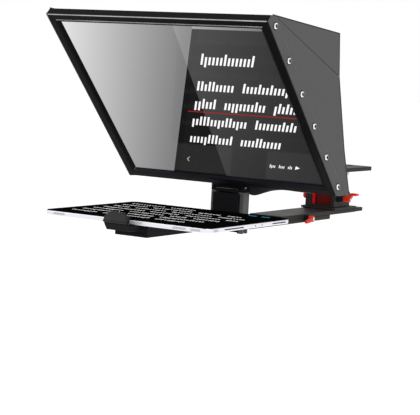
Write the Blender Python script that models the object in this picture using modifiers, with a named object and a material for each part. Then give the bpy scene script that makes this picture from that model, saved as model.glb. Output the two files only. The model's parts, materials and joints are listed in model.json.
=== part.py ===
"""A camera teleprompter: a tilted beam-splitter glass with a hood, over a tablet on a telescoping tray.

Blender 4.5, metres, +Z up. The person being filmed is at -Y and the camera is at +Y, on the camera plate.
The origin is the middle of the tripod face under the base rail.
"""

import math

import bmesh
import bpy
from mathutils import Matrix, Vector

GAP = 0.0003

# The glass frame leans towards -Y. Its own coordinates are x across, v down the glass from the
# lower edge (so the frame is at negative v) and w back through its depth from the front face.
FRAME_WIDTH = 0.370
FRAME_HEIGHT = 0.340
FRAME_DEPTH = 0.013
FRAME_LEAN = math.radians(46)
SIDE_BAR = 0.016
END_BAR = 0.016
FRAME_WALL = 0.008
FRAME_EDGE = Vector((0.0, -0.170, 0.068))
GLASS_THICKNESS = 0.003
GLASS_SEAT = 0.0045

# Each side of the frame: its name, its turn, its length, how far its edge is from the middle, and bar widths.
FRAME_SIDES = (
    ("top", 0, FRAME_WIDTH, FRAME_HEIGHT / 2, END_BAR, SIDE_BAR),
    ("right", 90, FRAME_HEIGHT, FRAME_WIDTH / 2, SIDE_BAR, END_BAR),
    ("bottom", 180, FRAME_WIDTH, FRAME_HEIGHT / 2, END_BAR, SIDE_BAR),
    ("left", 270, FRAME_HEIGHT, FRAME_WIDTH / 2, SIDE_BAR, END_BAR),
)

HINGE_DOWN = 0.0036
HINGE_BACK = 0.0003
HINGE_RADIUS = 0.0028
PIN_RADIUS = 0.0014
KNUCKLE_HALF = 0.0245
LEAF_HALF = 0.028

HOOD_BOARD = 0.002
HOOD_FLANGE = 0.0215
HOOD_REAR_TOP = (-0.1916, 0.3071)
HOOD_CREASE_END = (-0.1850, 0.2444)
HOOD_REAR_BEND = (-0.1532, 0.1358)
HOOD_REAR_FOOT = (-0.1260, 0.0650)
SNAPS_PER_SIDE = 6
SNAP_PITCH = 0.063
SNAP_LOWEST = -0.0078
SNAP_RADIUS = 0.0046

SHROUD_EDGE = (
    (-0.1950, 0.3030),
    (-0.1885, 0.2420),
    (-0.1565, 0.1350),
    (-0.1395, 0.0920),
    (-0.1395, 0.0620),
)
SHROUD_THICKNESS = 0.002
LENS_HEIGHT = 0.188
LENS_HOLE = 0.045

COLUMN_HALF = 0.0295
COLUMN_FRONT = -0.171
COLUMN_BACK = -0.1535
COLUMN_WALL = 0.0026
COLUMN_FOOT = -0.006
COLUMN_TOP = 0.0583
CAP_TOP = 0.0623
STAGE_WALL = 0.0024
HOUSING_MOUTH = 0.0205
STAGE_MOUTH = 0.0182
CARRIAGE_NECK_HALF = 0.0175
PANEL_HALF = 0.023
PANEL_FRONT = -0.176

RAIL_HALF = 0.030
RAIL_HEIGHT = 0.007
RAIL_FRONT = -0.147
RAIL_BACK = 0.130
BUSH_PLACES = (-0.030, 0.030)
BUSH_RADIUS = 0.0075
DOVETAIL_DEPTH = 0.0030
DOVETAIL_NECK = 0.0150
DOVETAIL_FOOT = 0.0168

PLATE_FRONT = -0.045
PLATE_BACK = 0.258
PLATE_TOP = 0.014

FOOT_HALF = 0.033
FOOT_TOP = PLATE_TOP + GAP + 0.0037
BRACKET_FLOOR = 0.0032
BRACKET_FRONT = 0.146
BRACKET_BACK = 0.207
BRACKET_TOP = 0.058
RIGHT_CHEEK_TOP = 0.0435
CHEEK_OUTER = 0.028
RIB_LEFT = -0.0160
RIB_RIGHT = -0.0100
RISER_HALF = 0.0222
LOCK_AXIS = Vector((0.0, 0.160, 0.0345))
RISER_WING = Vector((0.0402, LOCK_AXIS.y, LOCK_AXIS.z))
CAMERA_PLATE_TOP = 0.086
CAMERA_PLATE_THICKNESS = 0.0072
CAMERA_SCREW = Vector((0.0, 0.235, CAMERA_PLATE_TOP - CAMERA_PLATE_THICKNESS))

TABLET_WIDTH = 0.280
TABLET_DEPTH = 0.232
TABLET_THICKNESS = 0.0070
TABLET_CORNER = 0.011
TABLET_BACK = -0.220
TABLET_TOP = 0.0321
TABLET_SHEET = 0.0006

ARM_HALF = 0.0275
ARM_FRONT = -0.432
ARM_BACK = PANEL_FRONT - GAP
ARM_FOOT = 0.0062
ARM_TOP = TABLET_TOP - TABLET_THICKNESS - GAP
TONGUE_HALF = 0.020
TONGUE_FOOT = 0.0148
TONGUE_THICKNESS = 0.0062
JAW_HALF = 0.0195
JAW_NECK_HALF = 0.0095
JAW_NECK_FRONT = -0.4655

COLUMN_LEVER = Vector((0.0353, -0.1620, 0.020))
RAIL_LEVER = Vector((0.0378, 0.038, 0.0068))

FINISHES = {
    "frame_black": ((0.020, 0.020, 0.022), 0.42, 0.6),
    "base_black": ((0.045, 0.045, 0.047), 0.45, 0.6),
    "column_black": ((0.035, 0.035, 0.037), 0.5, 0.3),
    "red_anodised": ((0.560, 0.020, 0.012), 0.32, 0.85),
    "bare_steel": ((0.620, 0.620, 0.630), 0.28, 1.0),
    "snap_steel": ((0.780, 0.780, 0.790), 0.22, 1.0),
    "hood_board": ((0.110, 0.110, 0.112), 0.75, 0.0),
    "shroud_cloth": ((0.012, 0.012, 0.013), 0.95, 0.0),
    "beam_splitter": ((0.350, 0.360, 0.370), 0.05, 0.0),
    "glass_bead": ((0.015, 0.015, 0.015), 0.8, 0.0),
    "tablet_shell": ((0.800, 0.800, 0.820), 0.3, 0.9),
    "tablet_sheet": ((0.004, 0.004, 0.005), 0.06, 0.0),
}


def clear_scene():
    for obj in list(bpy.data.objects):
        bpy.data.objects.remove(obj, do_unlink=True)


def new_collection(name):
    collection = bpy.data.collections.new(name)
    bpy.context.scene.collection.children.link(collection)
    return collection


def finish(name):
    """The material of that finish, made the first time it is asked for."""
    found = bpy.data.materials.get(name)
    if found:
        return found
    color, roughness, metallic = FINISHES[name]
    made = bpy.data.materials.new(name)
    made.use_nodes = True
    shader = made.node_tree.nodes["Principled BSDF"]
    shader.inputs["Base Color"].default_value = (*color, 1.0)
    shader.inputs["Roughness"].default_value = roughness
    shader.inputs["Metallic"].default_value = metallic
    made.diffuse_color = (*color, 1.0)
    return made


def new_object(name, mesh, look=None, place=None):
    """Adds the mesh to the parts, or to the cutters where it has no look."""
    obj = bpy.data.objects.new(name, mesh)
    if look:
        PARTS.objects.link(obj)
        mesh.materials.clear()
        mesh.materials.append(finish(look))
    else:
        CUTTERS.objects.link(obj)
        obj.hide_render = True
        obj.display_type = "WIRE"
    obj.matrix_world = place or Matrix.Identity(4)
    return obj


def round_edges(obj, width, segments=2):
    bevel = obj.modifiers.new("round_edges", "BEVEL")
    bevel.width = width
    bevel.segments = segments
    bevel.limit_method = "ANGLE"
    bevel.angle_limit = math.radians(35)
    return obj


def boolean(obj, other, operation):
    modifier = obj.modifiers.new(other.name, "BOOLEAN")
    modifier.operation = operation
    modifier.solver = "EXACT"
    modifier.object = other


def cut(obj, *cutters):
    for cutter in cutters:
        boolean(obj, cutter, "DIFFERENCE")
    return obj


def join(obj, *others):
    for other in others:
        boolean(obj, other, "UNION")
    return obj


def box(name, low, high, look=None, place=None, rounding=0.0):
    """A box between two corners, given in place's coordinates."""
    low, high = Vector(low), Vector(high)
    mesh = bpy.data.meshes.new(name)
    shape = bmesh.new()
    bmesh.ops.create_cube(shape, size=1.0)
    bmesh.ops.scale(shape, vec=high - low, verts=shape.verts)
    shape.to_mesh(mesh)
    shape.free()
    centre = Matrix.Translation((low + high) / 2)
    obj = new_object(name, mesh, look, (place or Matrix.Identity(4)) @ centre)
    return round_edges(obj, rounding) if rounding else obj


def arc(centre, radius, start, end, steps):
    """Points on an arc of a circle, angles in degrees."""
    points = []
    for step in range(steps + 1):
        angle = math.radians(start + (end - start) * step / steps)
        points.append((centre[0] + radius * math.cos(angle), centre[1] + radius * math.sin(angle)))
    return points


def circle(centre, radius, steps=24):
    return arc(centre, radius, 0, 360, steps)[:-1]


def rounded_rectangle(low, high, radius, steps=4):
    corners = [(high[0], high[1], 0), (low[0], high[1], 90), (low[0], low[1], 180), (high[0], low[1], 270)]
    points = []
    for x, y, start in corners:
        inward_x = -radius if start in (0, 270) else radius
        inward_y = -radius if start in (0, 90) else radius
        points += arc((x + inward_x, y + inward_y), radius, start, start + 90, steps)
    return points


# Planes that an outline is drawn in: its first axis, its second, and the way that it is extruded.
XY = Matrix.Identity(4)
YZ = Matrix(((0, 0, 1, 0), (1, 0, 0, 0), (0, 1, 0, 0), (0, 0, 0, 1)))
XZ = Matrix(((1, 0, 0, 0), (0, 0, -1, 0), (0, 1, 0, 0), (0, 0, 0, 1)))


def extruded(name, outlines, low, high, plane=XY, look=None, place=None, rounding=0.0):
    """A flat outline, with any further outlines as holes, extruded from low to high along the plane's axis."""
    curve = bpy.data.curves.new(name, "CURVE")
    curve.dimensions = "2D"
    curve.fill_mode = "BOTH"
    curve.extrude = (high - low) / 2
    for outline in outlines:
        spline = curve.splines.new("POLY")
        spline.points.add(len(outline) - 1)
        for point, (first, second) in zip(spline.points, outline):
            point.co = (first, second, 0.0, 1.0)
        spline.use_cyclic_u = True
    drawn = bpy.data.objects.new(name, curve)
    CUTTERS.objects.link(drawn)
    graph = bpy.context.evaluated_depsgraph_get()
    mesh = bpy.data.meshes.new_from_object(drawn.evaluated_get(graph))
    bpy.data.objects.remove(drawn, do_unlink=True)
    shape = bmesh.new()
    shape.from_mesh(mesh)
    bmesh.ops.remove_doubles(shape, verts=shape.verts, dist=0.00001)
    bmesh.ops.dissolve_limit(shape, angle_limit=math.radians(1), verts=shape.verts, edges=shape.edges)
    bmesh.ops.recalc_face_normals(shape, faces=shape.faces)
    shape.to_mesh(mesh)
    shape.free()
    middle = (low + high) / 2
    if plane is XZ:
        middle = -middle
    obj = new_object(name, mesh, look, (place or Matrix.Identity(4)) @ plane @ Matrix.Translation((0, 0, middle)))
    return round_edges(obj, rounding) if rounding else obj


def turned(name, profile, look=None, place=None, steps=24):
    """A profile of (radius, height) points, top to bottom, turned about the place's Z axis."""
    mesh = bpy.data.meshes.new(name)
    shape = bmesh.new()
    points = [shape.verts.new((radius, 0.0, height)) for radius, height in profile]
    for upper, lower in zip(points, points[1:]):
        shape.edges.new((upper, lower))
    shape.to_mesh(mesh)
    shape.free()
    obj = new_object(name, mesh, look, place)
    screw = obj.modifiers.new("turn", "SCREW")
    screw.steps = steps
    screw.render_steps = steps
    screw.use_merge_vertices = True
    screw.merge_threshold = 0.00001
    screw.use_smooth_shade = True
    return obj


def along_x(point, flip=False):
    """A place whose Z axis points along +X, or along -X where flipped."""
    return Matrix.Translation(point) @ Matrix.Rotation(math.radians(-90 if flip else 90), 4, "Y")


def cylinder(name, radius, length, look=None, place=None, steps=24):
    return turned(name, [(0.0, length), (radius, length), (radius, 0.0), (0.0, 0.0)], look, place, steps)


def glass_place():
    """The frame's own coordinates: x, then down the glass, then back through it."""
    down = Vector((0.0, math.cos(FRAME_LEAN), -math.sin(FRAME_LEAN)))
    back = Vector((0.0, math.sin(FRAME_LEAN), math.cos(FRAME_LEAN)))
    turn = Matrix(((1.0, 0.0, 0.0), (0.0, down.y, back.y), (0.0, down.z, back.z)))
    return Matrix.Translation(FRAME_EDGE) @ turn.to_4x4()


GLASS = glass_place()
HINGE = GLASS @ Vector((0.0, HINGE_DOWN, HINGE_BACK))


def glass_yz(down, back):
    point = GLASS @ Vector((0.0, down, back))
    return point.y, point.z


def body(name, pivot, *members):
    """Hangs a moving body's parts from an empty that stands on its joint's axis."""
    empty = bpy.data.objects.new(name + "_axis", None)
    empty.empty_display_size = 0.02
    PARTS.objects.link(empty)
    empty.location = pivot
    bpy.context.view_layer.update()
    for member in members:
        world = member.matrix_world.copy()
        member.parent = empty
        member.matrix_parent_inverse = empty.matrix_world.inverted()
        member.matrix_world = world
    return empty


def rail_profile(bar):
    """Section of a frame rail: inward from the outer edge, then back from the front face."""
    return [
        (0.0, 0.0010),
        (0.0010, 0.0),
        (bar * 0.60, 0.0),
        (bar * 0.64, 0.0008),
        (bar * 0.69, 0.0),
        (bar * 0.76, 0.0),
        (bar, 0.0028),
        (bar, GLASS_SEAT),
        (FRAME_WALL, GLASS_SEAT),
        (FRAME_WALL, FRAME_DEPTH),
        (0.0, FRAME_DEPTH),
    ]


def frame_side_place(turn_degrees, to_edge):
    """Local coordinates of one side of the frame: along it, inward from its outer edge, and back."""
    centre = Matrix.Translation((0.0, -FRAME_HEIGHT / 2, 0.0))
    turn = Matrix.Rotation(math.radians(turn_degrees), 4, "Z")
    return GLASS @ centre @ turn @ Matrix.Translation((0.0, -to_edge, 0.0))


def mitre(obj, length, bar, next_bar):
    """Cuts both ends of a rail from the frame's outer corners to its inner ones, so that four rails meet."""
    shape = bmesh.new()
    shape.from_mesh(obj.data)
    for side in (-1, 1):
        # The rail's mesh runs along its Z axis, with inward as X.
        bmesh.ops.bisect_plane(
            shape,
            geom=list(shape.verts) + list(shape.edges) + list(shape.faces),
            plane_co=(0.0, 0.0, side * (length / 2 - GAP)),
            plane_no=(next_bar, 0.0, side * bar),
            clear_outer=True,
        )
        open_edges = [edge for edge in shape.edges if edge.is_boundary]
        bmesh.ops.holes_fill(shape, edges=open_edges, sides=0)
    bmesh.ops.recalc_face_normals(shape, faces=shape.faces)
    shape.to_mesh(obj.data)
    shape.free()


def frame_rails():
    rails = []
    for side, degrees, length, to_edge, bar, next_bar in FRAME_SIDES:
        place = frame_side_place(degrees, to_edge)
        name = "frame_rail_" + side
        rail = extruded(name, [rail_profile(bar)], -length / 2, length / 2, YZ, "frame_black", place)
        mitre(rail, length, bar, next_bar)
        rails.append(rail)
    return rails


def glass_bead():
    """The strip round the rebate that holds the glass from behind."""
    rebate = FRAME_WALL + GAP
    front = GLASS_SEAT + 2 * GAP + GLASS_THICKNESS
    half = FRAME_WIDTH / 2
    outer = rounded_rectangle((rebate - half, rebate - FRAME_HEIGHT), (half - rebate, -rebate), 0.001, 1)
    low = (SIDE_BAR - half, END_BAR - FRAME_HEIGHT)
    inner = rounded_rectangle(low, (half - SIDE_BAR, -END_BAR), 0.001, 1)
    return extruded("glass_bead", [outer, inner], front, FRAME_DEPTH - GAP, XY, "glass_bead", GLASS)


def beam_splitter():
    half = FRAME_WIDTH / 2 - FRAME_WALL - GAP
    inset = FRAME_WALL + GAP
    front = GLASS_SEAT + GAP
    low = (-half, -FRAME_HEIGHT + inset, front)
    high = (half, -inset, front + GLASS_THICKNESS)
    return box("beam_splitter", low, high, "beam_splitter", GLASS)


def hinge_leaf():
    """The frame's half of the hinge: plates under and in front of the bottom rail, with the knuckle between."""
    front = -0.0015
    tall = 0.0118
    start = along_x(HINGE - Vector((KNUCKLE_HALF, 0.0, 0.0)))
    knuckle = cylinder("hinge_leaf", HINGE_RADIUS, 2 * KNUCKLE_HALF, "frame_black", start)
    under = box("leaf_under", (-KNUCKLE_HALF, GAP, 0.0), (KNUCKLE_HALF, 0.0040, FRAME_DEPTH - 0.001), place=GLASS)
    neck = box("leaf_neck", (-KNUCKLE_HALF, -0.0010, front), (KNUCKLE_HALF, HINGE_DOWN, -GAP), place=GLASS)
    plate = box("leaf_plate", (-LEAF_HALF, -tall, front - 0.0001), (LEAF_HALF, -0.0006, -GAP), place=GLASS)
    return cut(join(knuckle, under, neck, plate), pin_hole("knuckle_hole"))


def pin_hole(name):
    """The cutter for the hinge pin, right through both halves of the hinge."""
    half = COLUMN_HALF + 0.003
    return cylinder(name, PIN_RADIUS + 0.0001, 2 * half, place=along_x(HINGE - Vector((half, 0, 0))))


def hinge_yoke():
    """The column's cap, with the two ears that hold the hinge pin."""
    low = (-COLUMN_HALF, COLUMN_FRONT, COLUMN_TOP + GAP)
    yoke = box("hinge_yoke", low, (COLUMN_HALF, COLUMN_BACK, CAP_TOP), "column_black")
    radius = HINGE_RADIUS + 0.0004
    foot = CAP_TOP - 0.001
    outline = [(HINGE.y + radius, foot)] + arc((HINGE.y, HINGE.z), radius, 0, 180, 12) + [(HINGE.y - radius, foot)]
    for side, name in ((-1, "left"), (1, "right")):
        ends = sorted((side * (KNUCKLE_HALF + GAP), side * COLUMN_HALF))
        join(yoke, extruded("hinge_ear_" + name, [outline], *ends, YZ))
    return cut(yoke, pin_hole("yoke_hole"))


def hinge_pin():
    half = COLUMN_HALF + GAP
    head = 0.0015
    head_radius = 0.0024
    profile = [
        (0.0, 2 * (half + head)),
        (head_radius, 2 * (half + head)),
        (head_radius, 2 * half + head),
        (PIN_RADIUS, 2 * half + head),
        (PIN_RADIUS, head),
        (head_radius, head),
        (head_radius, 0.0),
        (0.0, 0.0),
    ]
    return turned("hinge_pin", profile, "bare_steel", along_x(HINGE - Vector((half + head, 0, 0))))


def hood_roof():
    """The roof board, from the top rail's rear edge back to the shroud."""
    front = FRAME_DEPTH + GAP
    outline = [
        glass_yz(-FRAME_HEIGHT, front),
        glass_yz(-FRAME_HEIGHT + 0.0028, front),
        (HOOD_REAR_TOP[0], HOOD_REAR_TOP[1] - HOOD_BOARD),
        HOOD_REAR_TOP,
    ]
    half = FRAME_WIDTH / 2
    return extruded("hood_roof", [outline], -half, half, YZ, "hood_board", rounding=0.0004)


def hood_side(side, name):
    """One side of the hood: the flange that snaps to the frame, the side board, and the folding gusset."""
    inner = FRAME_WIDTH / 2 + GAP
    ends = sorted((side * inner, side * (inner + HOOD_BOARD)))
    front = 0.0008
    foot_rear = 0.0190
    crease_start = -0.3265
    edging = [
        glass_yz(-FRAME_HEIGHT, front),
        glass_yz(-FRAME_HEIGHT, FRAME_DEPTH),
        glass_yz(-0.3309, HOOD_FLANGE),
        glass_yz(foot_rear, HOOD_FLANGE),
        glass_yz(0.0160, 0.0150),
        glass_yz(0.0015, front),
    ]
    flange = extruded("hood_flange_" + name, [edging], *ends, YZ, "hood_board", rounding=0.0004)
    seam = HOOD_FLANGE + GAP
    board = [
        glass_yz(foot_rear, seam),
        HOOD_REAR_FOOT,
        HOOD_REAR_BEND,
        HOOD_CREASE_END,
        glass_yz(crease_start, seam),
    ]
    gusset = [
        glass_yz(crease_start - 0.0012, seam),
        (HOOD_CREASE_END[0], HOOD_CREASE_END[1] + 0.0008),
        HOOD_REAR_TOP,
        glass_yz(-0.3302, seam),
    ]
    side_board = extruded("hood_side_" + name, [board], *ends, YZ, "hood_board", rounding=0.0004)
    side_gusset = extruded("hood_gusset_" + name, [gusset], *ends, YZ, "hood_board", rounding=0.0004)
    return [flange, side_board, side_gusset] + snaps(side, name, inner + HOOD_BOARD + GAP)


def snaps(side, name, face):
    """Snap caps that hold the flange to the frame's side, evenly spaced along it."""
    profile = [
        (0.0, 0.0007),
        (0.0013, 0.0007),
        (0.0018, 0.0014),
        (0.0030, 0.0018),
        (0.0041, 0.0013),
        (SNAP_RADIUS, 0.0004),
        (SNAP_RADIUS, 0.0),
        (0.0, 0.0),
    ]
    made = []
    for index in range(SNAPS_PER_SIDE):
        at = GLASS @ Vector((side * face, SNAP_LOWEST - index * SNAP_PITCH, HOOD_FLANGE / 2))
        place = along_x(at, flip=side < 0)
        made.append(turned(f"snap_{name}_{index + 1}", profile, "snap_steel", place, steps=16))
    return made


def shroud_slope():
    """The turn, about X, of the shroud's middle panel from upright."""
    upper, lower = SHROUD_EDGE[1], SHROUD_EDGE[2]
    return math.atan2(lower[0] - upper[0], upper[1] - lower[1])


def lens_place():
    """The lens hole's own coordinates: Z points forward, through the shroud's middle panel."""
    upper, lower = SHROUD_EDGE[1], SHROUD_EDGE[2]
    share = (upper[1] - LENS_HEIGHT) / (upper[1] - lower[1])
    y = upper[0] + (lower[0] - upper[0]) * share - SHROUD_THICKNESS / 2
    turn = Matrix.Rotation(math.radians(90) + shroud_slope(), 4, "X")
    return Matrix.Translation((0.0, y, LENS_HEIGHT)) @ turn


def lens_shroud():
    """The cloth that closes the hood's back, folded where the hood's sides are, with a hole for the lens."""
    half = FRAME_WIDTH / 2 - 0.0015
    front = [(y - SHROUD_THICKNESS, z) for y, z in SHROUD_EDGE]
    shroud = extruded("lens_shroud", [[*SHROUD_EDGE, *reversed(front)]], -half, half, YZ, "shroud_cloth")
    hole_place = lens_place() @ Matrix.Translation((0.0, 0.0, -0.020))
    return cut(shroud, cylinder("lens_hole", LENS_HOLE, 0.040, None, hole_place, 32))


def lens_collar():
    """The elastic hem round the lens hole."""
    bead = 0.003
    middle = LENS_HOLE - GAP - bead
    profile = [(middle + r, z) for r, z in arc((0.0, 0.0), bead, 90, -270, 8)]
    return turned("lens_collar", profile, "shroud_cloth", lens_place(), steps=32)


def channel(half, front, back, wall, mouth):
    """A C-channel's section, open at the front, where mouth is half the opening."""
    right = [
        (half, back),
        (half, front),
        (mouth, front),
        (mouth, front + wall),
        (half - wall, front + wall),
        (half - wall, back - wall),
    ]
    left = [(-x, y) for x, y in reversed(right)]
    return right + left


def column_housing():
    """The fixed outer stage, open at the front, with a slot for the lever's bolt in its right wall."""
    section = channel(COLUMN_HALF, COLUMN_FRONT, COLUMN_BACK, COLUMN_WALL, HOUSING_MOUTH)
    look = "column_black"
    housing = extruded("column_housing", [section], COLUMN_FOOT, COLUMN_TOP, XY, look, rounding=0.0005)
    slot = box(
        "lever_slot",
        (COLUMN_HALF - 0.005, COLUMN_LEVER.y - 0.0041, COLUMN_FOOT - 0.002),
        (COLUMN_HALF + 0.003, COLUMN_LEVER.y + 0.0041, COLUMN_LEVER.z + 0.0045),
    )
    return cut(housing, slot)


def middle_stage():
    inset = COLUMN_WALL + GAP
    front = COLUMN_FRONT + inset
    section = channel(COLUMN_HALF - inset, front, COLUMN_BACK - inset, STAGE_WALL, STAGE_MOUTH)
    return extruded("middle_stage", [section], COLUMN_FOOT + 0.001, COLUMN_TOP - 0.0005, XY, "column_black")


def tray_carriage():
    """The inner stage: a slider, a neck through the channels' mouths, and the panel that covers them."""
    inset = COLUMN_WALL + STAGE_WALL + 2 * GAP
    foot = COLUMN_FOOT + 0.002
    top = COLUMN_TOP - 0.0018
    slider = box(
        "tray_carriage",
        (-COLUMN_HALF + inset, COLUMN_FRONT + inset, foot),
        (COLUMN_HALF - inset, COLUMN_BACK - inset, top),
        "column_black",
    )
    neck = box(
        "carriage_neck",
        (-CARRIAGE_NECK_HALF, PANEL_FRONT + 0.002, foot + 0.001),
        (CARRIAGE_NECK_HALF, COLUMN_FRONT + 0.006, top - 0.001),
    )
    panel = box(
        "carriage_panel",
        (-PANEL_HALF, PANEL_FRONT, foot + 0.0005),
        (PANEL_HALF, COLUMN_FRONT - GAP, top - 0.0005),
    )
    return join(slider, neck, panel)


def column_foot():
    """The angle that bolts the column to the front of the base rail."""
    leaf = 0.0035
    back = -0.106
    top = 0.050
    front = COLUMN_BACK + GAP
    foot = RAIL_HEIGHT + GAP
    outline = [
        (front, foot),
        (back, foot),
        (back, foot + leaf),
        (front + leaf + 0.004, foot + leaf),
        (front + leaf, foot + leaf + 0.004),
        (front + leaf, top),
        (front, top),
    ]
    return extruded("column_foot", [outline], -0.022, 0.022, YZ, "base_black", rounding=0.0005)


def socket_screw(name, at, radius=0.003, height=0.0024):
    """A cap screw's head, with its hexagonal socket, standing on the point at."""
    head = cylinder(name, radius, height, "bare_steel", Matrix.Translation(at), 20)
    socket_place = Matrix.Translation(at + Vector((0.0, 0.0, 0.001)))
    return cut(head, cylinder(name + "_socket", radius * 0.5, height, None, socket_place, 6))


def rail_section():
    """The base rail's section: a bar with a dovetail groove in its top."""
    neck = DOVETAIL_NECK + GAP
    foot = DOVETAIL_FOOT + GAP
    groove = RAIL_HEIGHT - DOVETAIL_DEPTH - GAP
    right = [(RAIL_HALF, 0.0), (RAIL_HALF, RAIL_HEIGHT), (neck, RAIL_HEIGHT), (foot, groove)]
    return right + [(-x, z) for x, z in reversed(right)]


def base_rail():
    rail = extruded("base_rail", [rail_section()], RAIL_FRONT, RAIL_BACK, XZ, "base_black", rounding=0.0006)
    for index, y in enumerate(BUSH_PLACES):
        place = Matrix.Translation((0.0, y, -0.001))
        cut(rail, cylinder(f"bush_seat_{index + 1}", BUSH_RADIUS, RAIL_HEIGHT + 0.002, place=place))
    return rail


def tripod_bush(index, y):
    """A steel bush with the tripod screw's hole, pressed into the rail."""
    radius = BUSH_RADIUS - GAP
    bore = 0.0044
    height = RAIL_HEIGHT - DOVETAIL_DEPTH - 4 * GAP
    profile = [(radius, height), (radius, 0.0), (bore, 0.0), (bore, height), (radius, height)]
    return turned(f"tripod_bush_{index}", profile, "bare_steel", Matrix.Translation((0.0, y, GAP)))


def slide_plate():
    foot = RAIL_HEIGHT + GAP
    right = [
        (RAIL_HALF, PLATE_TOP),
        (RAIL_HALF, foot),
        (DOVETAIL_NECK, foot),
        (DOVETAIL_FOOT, RAIL_HEIGHT - DOVETAIL_DEPTH),
    ]
    section = right + [(-x, z) for x, z in reversed(right)]
    return extruded("slide_plate", [section], PLATE_FRONT, PLATE_BACK, XZ, "base_black", rounding=0.0006)


def bracket_foot():
    low = (-FOOT_HALF, BRACKET_FRONT - 0.006, PLATE_TOP + GAP)
    high = (FOOT_HALF, BRACKET_BACK + 0.019, FOOT_TOP)
    return box("bracket_foot", low, high, "base_black", rounding=0.0006)


def riser_bracket():
    """The channel that guides the riser. Its left cheek is the taller one and flares outwards at the top."""
    foot = FOOT_TOP + GAP
    floor = foot + BRACKET_FLOOR
    inner = RISER_HALF + GAP
    section = [
        (-CHEEK_OUTER, foot),
        (CHEEK_OUTER, foot),
        (CHEEK_OUTER, RIGHT_CHEEK_TOP),
        (inner, RIGHT_CHEEK_TOP),
        (inner, floor),
        (-inner, floor),
        (-inner, BRACKET_TOP),
        (-CHEEK_OUTER - 0.0060, BRACKET_TOP),
        (-CHEEK_OUTER, 0.0480),
    ]
    look = "base_black"
    bracket = extruded("riser_bracket", [section], BRACKET_FRONT, BRACKET_BACK, XZ, look, rounding=0.0005)
    lip = box(
        "bracket_lip",
        (-CHEEK_OUTER + 0.001, BRACKET_FRONT + 0.0002, floor - 0.001),
        (RIB_LEFT - GAP, BRACKET_FRONT + 0.0036, BRACKET_TOP - 0.001),
    )
    return join(bracket, lip)


def riser():
    """The red block that lifts the camera plate, with a rib down its front."""
    front = BRACKET_FRONT + 0.004
    back = BRACKET_BACK - 0.004
    section = [
        (-RISER_HALF, back),
        (RISER_HALF, back),
        (RISER_HALF, front),
        (RIB_RIGHT, front),
        (RIB_RIGHT, front - 0.0025),
        (RIB_LEFT, front - 0.0025),
        (RIB_LEFT, front + 0.004),
        (-RISER_HALF, front + 0.004),
    ]
    foot = FOOT_TOP + BRACKET_FLOOR + 2 * GAP
    top = CAMERA_PLATE_TOP - CAMERA_PLATE_THICKNESS - GAP
    return extruded("riser", [section], foot, top, XY, "red_anodised", rounding=0.0004)


def camera_plate():
    outline = rounded_rectangle((-0.030, 0.105), (0.030, 0.290), 0.006)
    slot = arc((0.0, 0.265), 0.0035, 0, 180, 8) + arc((0.0, 0.205), 0.0035, 180, 360, 8)
    outlines = [outline, slot]
    foot = CAMERA_PLATE_TOP - CAMERA_PLATE_THICKNESS
    return extruded("camera_plate", outlines, foot, CAMERA_PLATE_TOP, XY, "base_black", rounding=0.0005)


def camera_screw():
    """The knurled screw that holds the camera, through the plate's slot."""
    head_top = -GAP
    profile = [
        (0.0, 0.0122),
        (0.0030, 0.0122),
        (0.0030, head_top),
        (0.0085, head_top),
        (0.0090, head_top - 0.0006),
        (0.0090, head_top - 0.0080),
        (0.0080, head_top - 0.0090),
        (0.0, head_top - 0.0090),
    ]
    return turned("camera_screw", profile, "bare_steel", Matrix.Translation(CAMERA_SCREW))


def capsule(start, end, start_radius, end_radius):
    """The outline of a bar with round ends."""
    tilt = math.degrees(math.atan2(end[1] - start[1], end[0] - start[0]))
    return arc(end, end_radius, tilt - 90, tilt + 90, 8) + arc(start, start_radius, tilt + 90, tilt + 270, 8)


def lever_hub(name, at, length):
    profile = [(0.0, length), (0.0042, length), (0.0050, length - 0.0008), (0.0050, 0.0), (0.0, 0.0)]
    return turned(name, profile, "red_anodised", along_x(at))


def rail_lock_lever():
    """The red lever beside the rail: a hub, and a flat handle that lies along the rail from its outer end."""
    length = 0.0080
    hub = lever_hub("rail_lock_lever", RAIL_LEVER, length)
    start = (RAIL_LEVER.y, RAIL_LEVER.z)
    end = (RAIL_LEVER.y - 0.0225, RAIL_LEVER.z - 0.0040)
    outer = RAIL_LEVER.x + length
    outline = capsule(start, end, 0.0040, 0.0024)
    grip = extruded("rail_lever_grip", [outline], outer - 0.0035, outer - 0.0003, YZ)
    return join(hub, grip)


def rail_lever_boss():
    """The black boss on the rail's side that the lever clamps against."""
    start = RAIL_HALF + GAP
    length = RAIL_LEVER.x - GAP - start
    profile = [(0.0, length), (0.0050, length), (0.0064, 0.0020), (0.0064, 0.0), (0.0, 0.0)]
    place = along_x(Vector((start, RAIL_LEVER.y, RAIL_LEVER.z)))
    return turned("rail_lever_boss", profile, "column_black", place)


def wing_lever(name, at, hub_length, reach, rise):
    """A red clamp lever that turns on the X axis: its handle climbs from the hub and then runs outwards."""
    hub = lever_hub(name, at, hub_length)
    root = (at.x + hub_length - 0.0030, at.z)
    knee = (at.x + reach - 0.0095, at.z + rise)
    tip = (at.x + reach, at.z + rise)
    arm_half = 0.0042
    grip_half = 0.0048
    rise_outline = capsule(root, knee, 0.0032, 0.0022)
    grip_outline = capsule(knee, tip, 0.0020, 0.0020)
    rising = extruded(name + "_arm", [rise_outline], at.y - arm_half, at.y + arm_half, XZ)
    grip = extruded(name + "_grip", [grip_outline], at.y - grip_half, at.y + grip_half, XZ)
    return join(hub, rising, grip)


def lever_bolt(name, at, start, radius):
    """The bolt that a lever turns, from start along X to the lever's inner face."""
    place = along_x(Vector((start, at.y, at.z)))
    return cylinder(name, radius, at.x - GAP - start, "bare_steel", place)


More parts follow.
